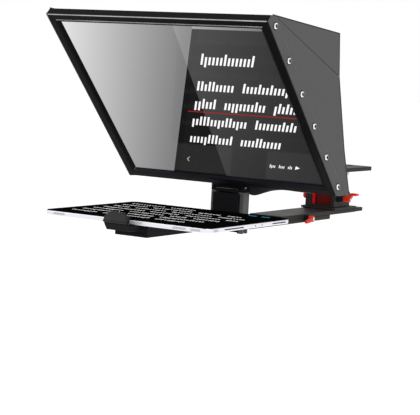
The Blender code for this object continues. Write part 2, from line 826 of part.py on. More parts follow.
def wing_boss():
    """The black cone between the bracket and the wing lever."""
    start = CHEEK_OUTER + GAP
    profile = [(0.0, 0.0115), (0.0045, 0.0115), (0.0070, 0.0020), (0.0070, 0.0), (0.0, 0.0)]
    place = along_x(Vector((start, LOCK_AXIS.y, LOCK_AXIS.z)))
    return turned("wing_boss", profile, "column_black", place)


def riser_knob():
    """The small red knob on the clamp bolt's left end."""
    start = -CHEEK_OUTER - GAP
    profile = [
        (0.0, 0.0100),
        (0.0040, 0.0100),
        (0.0050, 0.0090),
        (0.0050, 0.0045),
        (0.0030, 0.0038),
        (0.0030, 0.0),
        (0.0, 0.0),
    ]
    place = along_x(Vector((start, LOCK_AXIS.y, LOCK_AXIS.z)), flip=True)
    return turned("riser_knob", profile, "red_anodised", place)


def tray_arm():
    """The box arm under the tablet, with a bore in its front for the jaw's tongue."""
    arm = box(
        "tray_arm",
        (-ARM_HALF, ARM_FRONT, ARM_FOOT),
        (ARM_HALF, ARM_BACK, ARM_TOP),
        "base_black",
        rounding=0.0008,
    )
    bore = box(
        "arm_bore",
        (-TONGUE_HALF - GAP, ARM_FRONT - 0.002, TONGUE_FOOT - GAP),
        (TONGUE_HALF + GAP, -0.310, TONGUE_FOOT + TONGUE_THICKNESS + GAP),
    )
    return cut(arm, bore)


def rear_stop():
    """The stop behind the tablet, lower than its face."""
    low = (-0.020, TABLET_BACK + 0.0005, ARM_TOP + GAP)
    high = (0.020, TABLET_BACK + 0.0105, TABLET_TOP - 0.0015)
    return box("rear_stop", low, high, "base_black", rounding=0.0006)


def jaw_tongue():
    low = (-TONGUE_HALF, ARM_FRONT - 0.0002, TONGUE_FOOT)
    high = (TONGUE_HALF, -0.320, TONGUE_FOOT + TONGUE_THICKNESS)
    return box("jaw_tongue", low, high, "base_black")


def jaw_body():
    """The jaw's block: a ledge under the tablet's edge, a neck in front of the edge, and a wide front."""
    tablet_front = TABLET_BACK - TABLET_DEPTH
    foot = 0.0162
    top = 0.0328
    outline = [
        (-0.4640, foot),
        (ARM_FRONT - 0.0005, foot),
        (ARM_FRONT - 0.0005, ARM_TOP),
        (tablet_front - 0.0005, ARM_TOP),
        (tablet_front - 0.0005, top),
        (-0.4672, top),
        (-0.4712, 0.0258),
    ]
    jaw = extruded("jaw_body", [outline], -JAW_HALF, JAW_HALF, YZ, "base_black", rounding=0.0005)
    for side in (-1, 1):
        near, far = sorted((side * JAW_NECK_HALF, side * (JAW_HALF + 0.002)))
        low = (near, JAW_NECK_FRONT, ARM_TOP - 0.0010)
        high = (far, tablet_front + 0.0040, top + 0.002)
        cut(jaw, box(f"jaw_notch_{side}", low, high))
    return jaw


def jaw_lip():
    """A steep plate in front of the tablet's edge, with its upper corners cut off, and a hook behind it."""
    foot = Vector((-0.4748, 0.0283))
    tip = Vector((-0.4665, 0.0428))
    slope = math.atan2(tip.y - foot.y, tip.x - foot.x)
    length = (tip - foot).length
    outline = [
        (-JAW_HALF, 0.0),
        (JAW_HALF, 0.0),
        (JAW_HALF, length * 0.55),
        (JAW_HALF * 0.62, length),
        (-JAW_HALF * 0.62, length),
        (-JAW_HALF, length * 0.55),
    ]
    place = Matrix.Translation((0.0, foot.x, foot.y)) @ Matrix.Rotation(slope, 4, "X")
    lip = extruded("jaw_lip", [outline], -0.0036, 0.0, XY, "base_black", place, rounding=0.0008)
    hook_foot = TABLET_TOP + 0.0012
    low = (-JAW_NECK_HALF, -0.4690, hook_foot)
    high = (JAW_NECK_HALF, -0.4480, hook_foot + 0.0022)
    return join(lip, box("lip_hook", low, high))


def tablet_body():
    low = (-TABLET_WIDTH / 2, TABLET_BACK - TABLET_DEPTH)
    high = (TABLET_WIDTH / 2, TABLET_BACK)
    outline = rounded_rectangle(low, high, TABLET_CORNER, 6)
    foot = TABLET_TOP - TABLET_THICKNESS
    top = TABLET_TOP - TABLET_SHEET - GAP
    return extruded("tablet_body", [outline], foot, top, XY, "tablet_shell", rounding=0.0008)


def tablet_sheet():
    inset = 0.0008
    low = (-TABLET_WIDTH / 2 + inset, TABLET_BACK - TABLET_DEPTH + inset)
    high = (TABLET_WIDTH / 2 - inset, TABLET_BACK - inset)
    outline = rounded_rectangle(low, high, TABLET_CORNER - inset, 6)
    return extruded("tablet_sheet", [outline], TABLET_TOP - TABLET_SHEET, TABLET_TOP, XY, "tablet_sheet")


def build():
    base_rail()
    for index, y in enumerate(BUSH_PLACES):
        tripod_bush(index + 1, y)
    column_housing()
    column_foot()
    hinge_yoke()
    hinge_pin()
    leaf_top = RAIL_HEIGHT + 0.0035 + 2 * GAP
    for side, name in ((-1, "left"), (1, "right")):
        socket_screw("foot_screw_" + name, Vector((side * 0.012, -0.118, leaf_top)))
    rail_lever_boss()
    body("rail_lever", RAIL_LEVER, rail_lock_lever())

    frame = body("glass_frame", HINGE, *frame_rails(), glass_bead(), beam_splitter(), hinge_leaf())
    sides = hood_side(-1, "left") + hood_side(1, "right")
    hood = body("hood", HINGE, hood_roof(), *sides, lens_shroud(), lens_collar())
    hood.parent = frame
    hood.matrix_parent_inverse = frame.matrix_world.inverted()

    bolt = lever_bolt("column_lever_bolt", COLUMN_LEVER, COLUMN_HALF - COLUMN_WALL, 0.0035)
    body("middle", Vector((0.0, COLUMN_BACK, COLUMN_TOP)), middle_stage(), bolt)
    column_lever = wing_lever("column_lock_lever", COLUMN_LEVER, 0.0090, 0.0200, -0.0090)
    body("column_lever", COLUMN_LEVER, column_lever)
    body("carriage", Vector((0.0, COLUMN_FRONT, COLUMN_TOP)), tray_carriage(), tray_arm(), rear_stop())
    body("jaw", Vector((0.0, ARM_FRONT, ARM_FOOT)), jaw_tongue(), jaw_body(), jaw_lip())
    body("tablet", Vector((0.0, TABLET_BACK, TABLET_TOP)), tablet_body(), tablet_sheet())

    body("slide", Vector((0.0, 0.0, RAIL_HEIGHT)), slide_plate(), bracket_foot(), riser_bracket(), wing_boss())
    body("lift", Vector((0.0, BRACKET_FRONT, RAIL_HEIGHT)), riser(), camera_plate())
    body("wing", RISER_WING, wing_lever("riser_wing", RISER_WING, 0.0120, 0.0235, 0.0088))
    body("knob", LOCK_AXIS, riser_knob())
    body("screw", CAMERA_SCREW, camera_screw())


clear_scene()
PARTS = new_collection("teleprompter")
CUTTERS = new_collection("teleprompter_cutters")
build()
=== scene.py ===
"""Looks for the teleprompter: materials, the cloth shroud, trim and small fittings round the CAD frame.

Everything is in metres in the frame's own coordinates: +X to the lock levers, +Y to the camera, +Z up.
"""

import json
import math

import bmesh
import bpy
from mathutils import Matrix, Vector


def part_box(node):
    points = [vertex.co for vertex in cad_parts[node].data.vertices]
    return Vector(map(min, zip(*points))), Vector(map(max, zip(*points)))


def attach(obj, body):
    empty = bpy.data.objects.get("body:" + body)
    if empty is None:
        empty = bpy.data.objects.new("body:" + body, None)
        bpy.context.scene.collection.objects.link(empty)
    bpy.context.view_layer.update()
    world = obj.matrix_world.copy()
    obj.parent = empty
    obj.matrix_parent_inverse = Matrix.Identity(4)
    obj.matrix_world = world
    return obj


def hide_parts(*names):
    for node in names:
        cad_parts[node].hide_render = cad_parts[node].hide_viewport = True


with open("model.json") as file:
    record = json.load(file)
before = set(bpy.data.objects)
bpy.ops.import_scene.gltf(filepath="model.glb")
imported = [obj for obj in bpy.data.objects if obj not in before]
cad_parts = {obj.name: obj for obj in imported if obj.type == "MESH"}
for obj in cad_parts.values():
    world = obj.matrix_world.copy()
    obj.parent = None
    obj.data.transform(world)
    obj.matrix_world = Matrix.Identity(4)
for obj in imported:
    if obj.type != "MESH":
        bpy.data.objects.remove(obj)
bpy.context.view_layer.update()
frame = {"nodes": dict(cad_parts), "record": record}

NODES = frame["nodes"]

# The glass frame's own directions, at rest: up the glass, and back through it, from its lower front edge.
LEAN = math.radians(46)
UP_GLASS = Vector((0.0, -math.cos(LEAN), math.sin(LEAN)))
THROUGH_GLASS = Vector((0.0, math.sin(LEAN), math.cos(LEAN)))
FRAME_EDGE = Vector((0.0, -0.170, 0.068))
FRAME_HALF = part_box("frame_rail_top")[1].x
HOOD_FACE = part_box("hood_side_right")[1].x
HOOD_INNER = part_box("hood_side_right")[0].x


def on_glass(x, up, through):
    return FRAME_EDGE + Vector((x, 0.0, 0.0)) + UP_GLASS * up + THROUGH_GLASS * through


# ---------------------------------------------------------------- material graphs


class Graph:
    """A Principled material, and short ways to wire nodes to it."""

    def __init__(self, name):
        self.material = bpy.data.materials.new(name)
        self.material.use_nodes = True
        self.tree = self.material.node_tree
        self.shader = self.tree.nodes["Principled BSDF"]
        self.place = self.node("ShaderNodeTexCoord").outputs["Object"]

    def node(self, kind, inputs=None, **settings):
        made = self.tree.nodes.new(kind)
        for name, value in settings.items():
            setattr(made, name, value)
        for name, value in (inputs or {}).items():
            self.put(made.inputs[name], value)
        return made

    def put(self, socket, value):
        if isinstance(value, bpy.types.NodeSocket):
            self.tree.links.new(value, socket)
        else:
            socket.default_value = value

    def set(self, **inputs):
        for name, value in inputs.items():
            self.put(self.shader.inputs[name.replace("_", " ")], value)
        return self

    def math(self, operation, a, b=0.0, clamp=False):
        return self.node("ShaderNodeMath", {0: a, 1: b}, operation=operation, use_clamp=clamp).outputs[0]

    def add(self, *values):
        total = values[0]
        for value in values[1:]:
            total = self.math("ADD", total, value)
        return total

    def times(self, *values):
        total = values[0]
        for value in values[1:]:
            total = self.math("MULTIPLY", total, value)
        return total

    def more(self, a, b):
        return self.math("GREATER_THAN", a, b)

    def less(self, a, b):
        return self.math("LESS_THAN", a, b)

    def between(self, value, low, high):
        return self.times(self.more(value, low), self.less(value, high))

    def along(self, direction, origin=0.0):
        """Distance along a direction, from the point that is origin along it."""
        dot = self.node("ShaderNodeVectorMath", {0: self.place, 1: tuple(direction)}, operation="DOT_PRODUCT")
        return self.math("SUBTRACT", dot.outputs["Value"], origin)

    def looking(self, direction):
        """How squarely a face looks that way, 1 where it faces it."""
        normal = self.node("ShaderNodeTexCoord").outputs["Normal"]
        dot = self.node("ShaderNodeVectorMath", {0: normal, 1: tuple(direction)}, operation="DOT_PRODUCT")
        return dot.outputs["Value"]

    def noise(self, scale, detail=4.0, roughness=0.55, place=None):
        inputs = {"Vector": place or self.place, "Scale": scale, "Detail": detail, "Roughness": roughness}
        return self.node("ShaderNodeTexNoise", inputs).outputs["Fac"]

    def stretched(self, x, y, z):
        """The place, scaled along each axis."""
        return self.node("ShaderNodeMapping", {"Vector": self.place, "Scale": (x, y, z)}).outputs["Vector"]

    def mix(self, factor, a, b):
        """Between colours a and b."""
        made = self.node("ShaderNodeMix", data_type="RGBA")
        self.put(made.inputs["Factor"], factor)
        self.put(made.inputs["A"], a)
        self.put(made.inputs["B"], b)
        return made.outputs["Result"]

    def ranged(self, value, low, high, to_low, to_high):
        inputs = {"Value": value, "From Min": low, "From Max": high, "To Min": to_low, "To Max": to_high}
        return self.node("ShaderNodeMapRange", inputs).outputs["Result"]

    def bump(self, height, distance, strength=1.0):
        inputs = {"Height": height, "Distance": distance, "Strength": strength}
        normal = self.node("ShaderNodeBump", inputs).outputs["Normal"]
        self.put(self.shader.inputs["Normal"], normal)
        return self


def grey(value):
    return (value, value, value, 1.0)


def tinted(color, share):
    return tuple(channel * share for channel in color[:3]) + (1.0,)


def anodised(name, color, roughness=0.42, metallic=0.0, spread=0.18, specular=0.22, edge=None):
    """Bead-blasted, anodised aluminium: fine grain, with slow drifts in tone. An edge is a painted highlight,
    in patches, on the
    faces that look one way: (direction, how squarely a face looks that way, tone)."""
    graph = Graph(name)
    drift = graph.noise(18.0, 3.0)
    grain = graph.noise(5200.0, 2.0, 0.7)
    both = graph.add(graph.times(drift, 0.7), graph.times(grain, 0.3))
    tone = graph.mix(both, tinted(color, 1.0 - spread), tinted(color, 1.0 + spread))
    rough = graph.ranged(both, 0.3, 0.7, roughness - 0.06, roughness + 0.06)
    if edge:
        direction, squareness, bright = edge
        patches = graph.ranged(drift, 0.35, 0.6, 0.6, 1.0)
        # Painted highlight on the faces that look that way, broken into patches.
        highlight_mask = graph.times(graph.more(graph.looking(direction), squareness), patches)
        tone = graph.mix(highlight_mask, tone, bright)
    graph.set(Base_Color=tone, Roughness=rough, Metallic=metallic)
    graph.shader.inputs["Specular IOR Level"].default_value = specular
    return graph.bump(grain, 0.00003, 0.3)


def turned_metal(name, color, roughness=0.24):
    """Machined metal, with faint rings left by the tool."""
    graph = Graph(name)
    rings = graph.noise(900.0, 2.0, 0.6, graph.stretched(1.0, 1.0, 6.0))
    tone = graph.mix(rings, tinted(color, 0.82), tinted(color, 1.08))
    rough = graph.ranged(rings, 0.3, 0.7, roughness - 0.06, roughness + 0.08)
    graph.set(Base_Color=tone, Roughness=rough, Metallic=1.0)
    return graph.bump(rings, 0.00003, 0.3).material


def woven(graph, pitch):
    """Height of a plain weave of threads that far apart."""
    turns = 2.0 * math.pi / pitch
    across = graph.along((turns, 0.0, 0.0))
    fall = graph.along((0.0, turns * 0.72, turns * 0.72))
    warp = graph.math("SINE", across)
    weft = graph.math("SINE", fall)
    return graph.times(graph.add(graph.times(warp, weft), 1.0), 0.5)


BOARD_PITCH = 0.0011
SHROUD_PITCH = 0.0014


def board_cloth(name, color, inside):
    """The hood's covered board: grey coated cloth outside and black felt inside."""
    graph = Graph(name)
    turns = 2.0 * math.pi / BOARD_PITCH
    rise = graph.along((0.0, turns * 0.7, turns * 0.7))
    fall = graph.along((0.0, turns * 0.7, -turns * 0.7))
    weave = graph.times(graph.add(graph.times(graph.math("SINE", rise), graph.math("SINE", fall)), 1.0), 0.5)
    clouds = graph.noise(14.0, 5.0, 0.6)
    fuzz = graph.noise(2600.0, 2.0, 0.8)
    both = graph.add(graph.times(clouds, 0.62), graph.times(weave, 0.16), graph.times(fuzz, 0.22))
    outside = graph.mix(both, tinted(color, 0.80), tinted(color, 1.22))
    felt = graph.mix(fuzz, grey(inside * 0.6), grey(inside * 1.5))
    depth = graph.math("ABSOLUTE", graph.along((1.0, 0.0, 0.0)))
    is_roof = graph.less(depth, FRAME_HALF + 0.0002)
    normal = graph.node("ShaderNodeTexCoord").outputs["Normal"]
    split = graph.node("ShaderNodeSeparateXYZ", {0: normal})
    outer_side = graph.more(depth, HOOD_INNER + 0.0004)
    outer_roof = graph.more(split.outputs["Z"], -0.3)
    sides = graph.times(graph.math("SUBTRACT", 1.0, is_roof), outer_side)
    outer = graph.add(sides, graph.times(is_roof, outer_roof))
    graph.set(Base_Color=graph.mix(outer, felt, outside), Roughness=graph.ranged(both, 0.3, 0.7, 0.58, 0.78))
    graph.shader.inputs["Specular IOR Level"].default_value = 0.28
    return graph.bump(graph.add(weave, fuzz), 0.00006, 0.5).material


def shroud_cloth(name, color):
    """Black stretch cloth, matt, with a faint sheen on its folds."""
    graph = Graph(name)
    weave = woven(graph, SHROUD_PITCH)
    fuzz = graph.noise(1800.0, 3.0, 0.7)
    both = graph.add(graph.times(weave, 0.3), graph.times(fuzz, 0.7))
    tone = graph.mix(both, tinted(color, 0.7), tinted(color, 1.4))
    graph.set(Base_Color=tone, Roughness=graph.ranged(both, 0.2, 0.8, 0.82, 0.96))
    graph.shader.inputs["Sheen Weight"].default_value = 0.12
    graph.shader.inputs["Sheen Roughness"].default_value = 0.5
    graph.shader.inputs["Specular IOR Level"].default_value = 0.2
    return graph.bump(both, 0.00006, 0.5).material


def moulded(name, color, roughness=0.5):
    """Fine-textured moulded plastic or rubber."""
    graph = Graph(name)
    grain = graph.noise(3200.0, 2.0, 0.6)
    drift = graph.noise(30.0, 2.0)
    both = graph.add(graph.times(grain, 0.5), graph.times(drift, 0.5))
    tone = graph.mix(both, tinted(color, 0.8), tinted(color, 1.25))
    graph.set(Base_Color=tone, Roughness=graph.ranged(grain, 0.3, 0.7, roughness - 0.08, roughness + 0.08))
    graph.shader.inputs["Specular IOR Level"].default_value = 0.2
    return graph.bump(grain, 0.00005, 0.4).material


# ---------------------------------------------------------------- the script, as plain word bars, and its painted reflection on the glass

# Each row of the script as painted reflection on the glass: its baseline, its bars' greatest height, and the
# bars in each of its words.
REFLECTED_SCRIPT_ROWS = (
    (0.2497, 0.0215, (14,)),
    (0.1975, 0.0190, (10, 16)),
    (0.1608, 0.0200, (6, 11, 8)),
    (0.1243, 0.0190, (15, 11)),
    (0.0858, 0.0190, (12, 11)),
)
SCRIPT_LEFT = -0.0825
SCRIPT_SHEAR = 0.5025
BAR_PITCH = 0.0064
# Places on the glass for the painted reflection of the tablet's screen and its marks, and of the bright
# floor: how far up it, or across it along the script's shear.
SCREEN_EDGE = -0.1043
SCREEN_TOP = 0.3175
BEZEL_EDGE = -0.0936
HEADER_FOOT = 0.2915
MARKER_LEFT = -0.0930
MARKER_ROWS = (0.1521, 0.1538)
# The red of the mark in the painted reflection of the screen.
REFLECTED_MARKER_RED = (0.40, 0.012, 0.016, 1.0)
CLOCK_ROWS = ((0.0443, 0.0072, (4, 4, 3)),)
CLOCK_LEFT = 0.0640
CLOCK_PITCH = 0.0026
PLAY_MIDDLE = 0.0480
PLAY_LEFT = 0.1075
PLAY_LENGTH = 0.0075
PLAY_SLOPE = 1.9
ARROW_MIDDLE = 0.0470
ARROW_LEFT = -0.0835
ARROW_SLOPE = 0.75
ARROW_LINE = 0.0016
ARROW_HALF = 0.0050
# The painted reflection is on everything nearer the front than this.
PANE_FRONT = 0.0062


def word_bars(graph, across, up, rows, left, pitch, share=0.52):
    """1 where a word's bars are: runs of short upright bars of uneven height, in the place of the text."""
    total = 0.0
    for index, (baseline, tall, words) in enumerate(rows):
        cell = graph.math("DIVIDE", graph.math("SUBTRACT", across, left), pitch)
        seed = graph.add(graph.math("FLOOR", cell), 37.0 * (index + 1))
        chance = graph.node("ShaderNodeTexWhiteNoise", {"W": seed}, noise_dimensions="1D").outputs["Value"]
        height = graph.ranged(graph.more(chance, 0.72), 0.0, 1.0, tall * 0.70, tall)
        drop = graph.times(graph.less(chance, 0.12), tall * 0.22)
        rise = graph.math("SUBTRACT", up, baseline)
        upright = graph.less(graph.math("FRACT", cell), share)
        inside = graph.times(upright, graph.less(rise, height), graph.more(graph.add(rise, drop), 0.0))
        start = 0
        spans = 0.0
        for bars in words:
            spans = graph.add(graph.between(cell, float(start), float(start + bars)), spans)
            start += bars + 2
        total = graph.add(graph.times(inside, spans), total)
    return total


def reflected_marks(graph, slant, up):
    """1 where the painted reflection shows the script's bars, the clock's bars, the play mark or the arrow.
    """
    rows = word_bars(graph, slant, up, REFLECTED_SCRIPT_ROWS, SCRIPT_LEFT, BAR_PITCH)
    clock = word_bars(graph, slant, up, CLOCK_ROWS, CLOCK_LEFT, CLOCK_PITCH)
    play_rise = graph.math("ABSOLUTE", graph.math("SUBTRACT", up, PLAY_MIDDLE))
    play_reach = graph.math("SUBTRACT", slant, PLAY_LEFT)
    play_edge = graph.add(graph.times(play_rise, PLAY_SLOPE), play_reach)
    play = graph.times(graph.more(play_reach, 0.0), graph.less(play_edge, PLAY_LENGTH))
    arrow_rise = graph.math("ABSOLUTE", graph.math("SUBTRACT", up, ARROW_MIDDLE))
    from_left = graph.math("SUBTRACT", slant, ARROW_LEFT)
    arrow_reach = graph.math("SUBTRACT", from_left, graph.times(arrow_rise, ARROW_SLOPE))
    arrow = graph.times(graph.between(arrow_reach, 0.0, ARROW_LINE), graph.less(arrow_rise, ARROW_HALF), 0.5)
    return graph.math("MINIMUM", graph.add(rows, clock, play, arrow), 1.0)


def splitter_glass(name):
    """Coated beam-splitter glass. Its front glows with a painted reflection: the bright floor on one side,
    the mirrored screen on the other with the script in word bars, and a painted band of glare from corner to
    corner; its back is plain."""
    graph = Graph(name)
    up = graph.along(UP_GLASS, UP_GLASS.dot(FRAME_EDGE))
    through = graph.along(THROUGH_GLASS, THROUGH_GLASS.dot(FRAME_EDGE))
    x = graph.along((1.0, 0.0, 0.0))
    slant = graph.math("SUBTRACT", x, graph.times(up, SCRIPT_SHEAR))

    # Painted reflection of the bright floor, darker towards the screen.
    floor_tone = graph.math("POWER", graph.ranged(slant, -0.33, -0.11, 0.885, 0.490), 2.2)
    # The mirrored screen, its bezel and its header, as painted reflection.
    screen = graph.times(graph.more(slant, SCREEN_EDGE), graph.less(up, SCREEN_TOP))
    bezel = graph.more(slant, BEZEL_EDGE)
    screen_reflection_tone = graph.add(graph.times(bezel, 0.0022), 0.0062)
    header = graph.times(graph.more(up, HEADER_FOOT), bezel, 0.004)

    # A painted highlight: a band of glare right of a slanting edge, fading to the right and brighter higher
    # up.
    glare_edge = graph.math("SUBTRACT", x, graph.add(graph.times(up, 0.080), -0.0009))
    fade = graph.math("SUBTRACT", 1.0, graph.times(glare_edge, 3.9), clamp=True)
    glare = graph.times(graph.add(graph.times(up, 0.155), 0.026), fade, graph.more(glare_edge, 0.0))

    # The red mark and the script, as painted reflection of the screen.
    marker_reflection = graph.times(graph.between(up, *MARKER_ROWS), graph.more(slant, MARKER_LEFT))
    reflected_white = reflected_marks(graph, slant, up)

    # Painted reflection above the mirrored screen, lighter to the left.
    top_band_reflection = graph.ranged(x, 0.06, 0.17, 0.34, 0.16)
    floor_reflection_side = graph.math("MAXIMUM", graph.times(graph.less(slant, SCREEN_EDGE), floor_tone), 0.0)
    above = graph.times(graph.more(slant, SCREEN_EDGE), graph.more(up, SCREEN_TOP), top_band_reflection)
    screen_reflection = graph.times(screen, graph.add(screen_reflection_tone, header))
    base = graph.add(floor_reflection_side, above, screen_reflection, glare)
    script_reflection_glow = graph.mix(graph.times(reflected_white, screen), grey(0.0), grey(1.0))
    tone = graph.node("ShaderNodeCombineColor", {0: base, 1: base, 2: base}).outputs["Color"]
    tone = graph.mix(graph.times(marker_reflection, screen), tone, REFLECTED_MARKER_RED)
    added = graph.node("ShaderNodeMix", data_type="RGBA", blend_type="ADD")
    graph.put(added.inputs["Factor"], 1.0)
    graph.put(added.inputs["A"], tone)
    graph.put(added.inputs["B"], script_reflection_glow)
    # The painted reflection glows on the front face only.
    front = graph.less(through, PANE_FRONT)
    painted_reflection = graph.mix(front, grey(0.0), added.outputs["Result"])
    haze = graph.noise(60.0, 3.0)
    graph.set(Base_Color=graph.mix(haze, grey(0.002), grey(0.005)))
    graph.set(Emission_Color=painted_reflection, Emission_Strength=1.0)
    graph.set(Roughness=graph.ranged(haze, 0.3, 0.7, 0.04, 0.09))
    graph.shader.inputs["Specular IOR Level"].default_value = 0.04
    return graph.material


TABLET_ROWS = (
    (0.252, 0.0070, (12, 9)),
    (0.277, 0.0080, (9, 14, 8, 5)),
    (0.303, 0.0080, (6, 11, 14, 9)),
    (0.329, 0.0085, (15, 10, 12, 4)),
    (0.355, 0.0085, (11, 12, 6, 9)),
    (0.381, 0.0090, (14, 9, 15)),
    (0.408, 0.0090, (9, 16, 10)),
)
TABLET_LEFT = -0.118
TABLET_PITCH = 0.0050
TABLET_BAR_SHARE = 0.38
TABLET_MARGIN = 0.012
STATUS_LEFTS = (0.079, 0.101)
STATUS_PITCH = 0.0046
STATUS_ROWS = (0.2365, 0.2425)
STATUS_BLUE = (0.05, 0.42, 0.62, 1.0)


def tablet_glass(name):
    """The tablet's face: black glass with the same script, and two small groups of status marks."""
    graph = Graph(name)
    forward = graph.along((0.0, -1.0, 0.0))
    x = graph.along((1.0, 0.0, 0.0))
    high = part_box("tablet_sheet")[1]
    top = graph.more(graph.along((0.0, 0.0, 1.0)), high.z - 0.0001)
    bars = word_bars(graph, x, forward, TABLET_ROWS, TABLET_LEFT, TABLET_PITCH, TABLET_BAR_SHARE)
    rows = graph.times(bars, graph.less(x, high.x - TABLET_MARGIN))
    marks = 0.0
    for start in STATUS_LEFTS:
        cell = graph.math("DIVIDE", graph.math("SUBTRACT", x, start), STATUS_PITCH)
        dot = graph.times(graph.between(graph.math("FRACT", cell), 0.15, 0.8), graph.between(cell, 0.0, 3.0))
        marks = graph.add(graph.times(dot, graph.between(forward, *STATUS_ROWS)), marks)
    glow = graph.mix(graph.times(marks, top), grey(0.0), STATUS_BLUE)
    glow = graph.mix(graph.times(rows, top), glow, grey(1.3))
    smudge = graph.noise(40.0, 4.0)
    graph.set(Base_Color=graph.mix(smudge, grey(0.001), grey(0.003)))
    graph.set(Emission_Color=glow, Emission_Strength=1.0)
    graph.set(Roughness=graph.ranged(smudge, 0.3, 0.7, 0.05, 0.12))
    graph.shader.inputs["Specular IOR Level"].default_value = 0.0
    return graph.material


RIB_DEPTH = 0.0018


def riser_red_painted_light(name, color):
    """The riser's red as a darker copy with painted shade on its face, and a painted highlight on the rib
    that stands forward of it.
    """
    graph = Graph(name)
    grain = graph.noise(4200.0, 2.0, 0.7)
    drift = graph.noise(30.0, 2.0)
    tone = graph.mix(drift, tinted(color, 0.8), tinted(color, 1.3))
    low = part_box("riser")[0]
    rib = graph.less(graph.along((0.0, 1.0, 0.0)), low.y + RIB_DEPTH)
    # The face keeps the dark red as painted shade; the rib gets a painted highlight, 5.5 times as bright.
    graph.set(Base_Color=graph.mix(rib, tone, tinted(color, 5.5)), Roughness=0.42, Metallic=0.2)
    graph.shader.inputs["Specular IOR Level"].default_value = 0.1
    return graph.bump(grain, 0.00003, 0.3)


BLACK = (0.0048, 0.0048, 0.0052)
# Painted highlights on the faces that look forward: a pale line on the top rail's chamfer, a faint bluish
# line on the bottom rail's.
TOP_EDGE_HIGHLIGHT = ((0.0, -1.0, 0.0), 0.985, grey(0.42))
FOOT_EDGE_HIGHLIGHT = ((0.0, -1.0, 0.0), 0.985, (0.013, 0.014, 0.019, 1.0))
MATERIALS = {
    "frame_black": anodised("frame_black", BLACK, 0.40, specular=0.03).material,
    "base_black": anodised("base_black", (0.018, 0.0165, 0.0155), 0.45, specular=0.06).material,
    "column_black": anodised("column_black", (0.072, 0.072, 0.073), 0.50, specular=0.12).material,
    "red_anodised": anodised("red_anodised", (0.50, 0.018, 0.004), 0.34, 0.25, 0.18, 0.10).material,
    "bare_steel": turned_metal("bare_steel", (0.60, 0.60, 0.61)),
    "snap_steel": turned_metal("snap_steel", (0.74, 0.74, 0.75), 0.20),
    "hood_board": board_cloth("hood_board", (0.050, 0.050, 0.052), 0.006),
    "shroud_cloth": shroud_cloth("shroud_cloth", (0.008, 0.008, 0.009)),
    "beam_splitter": splitter_glass("beam_splitter"),
    "glass_bead": moulded("glass_bead", (0.010, 0.010, 0.010), 0.6),
    "tablet_shell": anodised("tablet_shell", (0.66, 0.66, 0.71), 0.24, 0.4, 0.05, 0.4).material,
    "tablet_sheet": tablet_glass("tablet_sheet"),
}
# Copies of the frame black that carry those painted highlights.
HIGHLIT_TOP_BLACK = anodised("highlit_top_black", BLACK, 0.40, specular=0.03, edge=TOP_EDGE_HIGHLIGHT).material
HIGHLIT_FOOT_BLACK = anodised("highlit_foot_black", BLACK, 0.40, specular=0.03, edge=FOOT_EDGE_HIGHLIGHT).material
PANEL_BLACK = anodised("panel_black", (0.0065, 0.0065, 0.0075), 0.45, specular=0.03).material
# A copy of the red anodised with painted shade, and a painted highlight on its rib.
RISER_RED_PAINTED_LIGHT = riser_red_painted_light("riser_red_painted_light", (0.070, 0.0006, 0.0006)).material
RUBBER = moulded("black_rubber", (0.012, 0.012, 0.012), 0.7)
DARK_SLOT = moulded("dark_slot", (0.004, 0.004, 0.004), 0.8)
BUTTON_GREY = moulded("button_grey", (0.36, 0.36, 0.39), 0.4)
LIP_GREY = moulded("lip_grey", (0.016, 0.016, 0.017), 0.7)
PALE_LINE = moulded("stitch_thread", (0.20, 0.20, 0.205), 0.6)

# Nodes whose finish differs from their slot's: the panels by a darker black of their own, the rails and the
# riser by copies with painted light.
OWN_TONE_AND_PAINTED_LIGHT = {
    "frame_rail_top": HIGHLIT_TOP_BLACK,
    "frame_rail_bottom": HIGHLIT_FOOT_BLACK,
    "tray_carriage": PANEL_BLACK,
    "hinge_yoke": PANEL_BLACK,
    "wing_boss": PANEL_BLACK,
    "rail_lever_boss": PANEL_BLACK,
    "jaw_body": PANEL_BLACK,
    "tray_arm": PANEL_BLACK,
    "riser": RISER_RED_PAINTED_LIGHT,
}


def dress_nodes():
    for part in frame["record"]["subparts"]:
        mesh = NODES[part["node"]].data
        mesh.materials.clear()
        mesh.materials.append(OWN_TONE_AND_PAINTED_LIGHT.get(part["node"], MATERIALS[part["material_slot"]]))


# ---------------------------------------------------------------- new pieces


def add_piece(name, mesh, material, body, smooth=None):
    """Puts a mesh in the scene with its material, on the body that it rides."""
    obj = bpy.data.objects.new(name, mesh)
    bpy.context.scene.collection.objects.link(obj)
    mesh.materials.clear()
    mesh.materials.append(material)
    if smooth is not None:
        mesh.shade_smooth()
        mesh.set_sharp_from_angle(angle=math.radians(smooth))
    if body:
        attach(obj, body)
    return obj


def mesh_from(shape, name):
    bmesh.ops.recalc_face_normals(shape, faces=shape.faces)
    mesh = bpy.data.meshes.new(name)
    shape.to_mesh(mesh)
    shape.free()
    return mesh


def rounded_block(name, low, high, radius):
    """A box with rounded edges, between two corners."""
    low, high = Vector(low), Vector(high)
    shape = bmesh.new()
    bmesh.ops.create_cube(shape, size=1.0)
    bmesh.ops.scale(shape, vec=high - low, verts=shape.verts)
    bmesh.ops.translate(shape, vec=(low + high) / 2, verts=shape.verts)
    bmesh.ops.bevel(shape, geom=list(shape.edges), offset=radius, segments=2, profile=0.5, affect="EDGES")
    return mesh_from(shape, name)


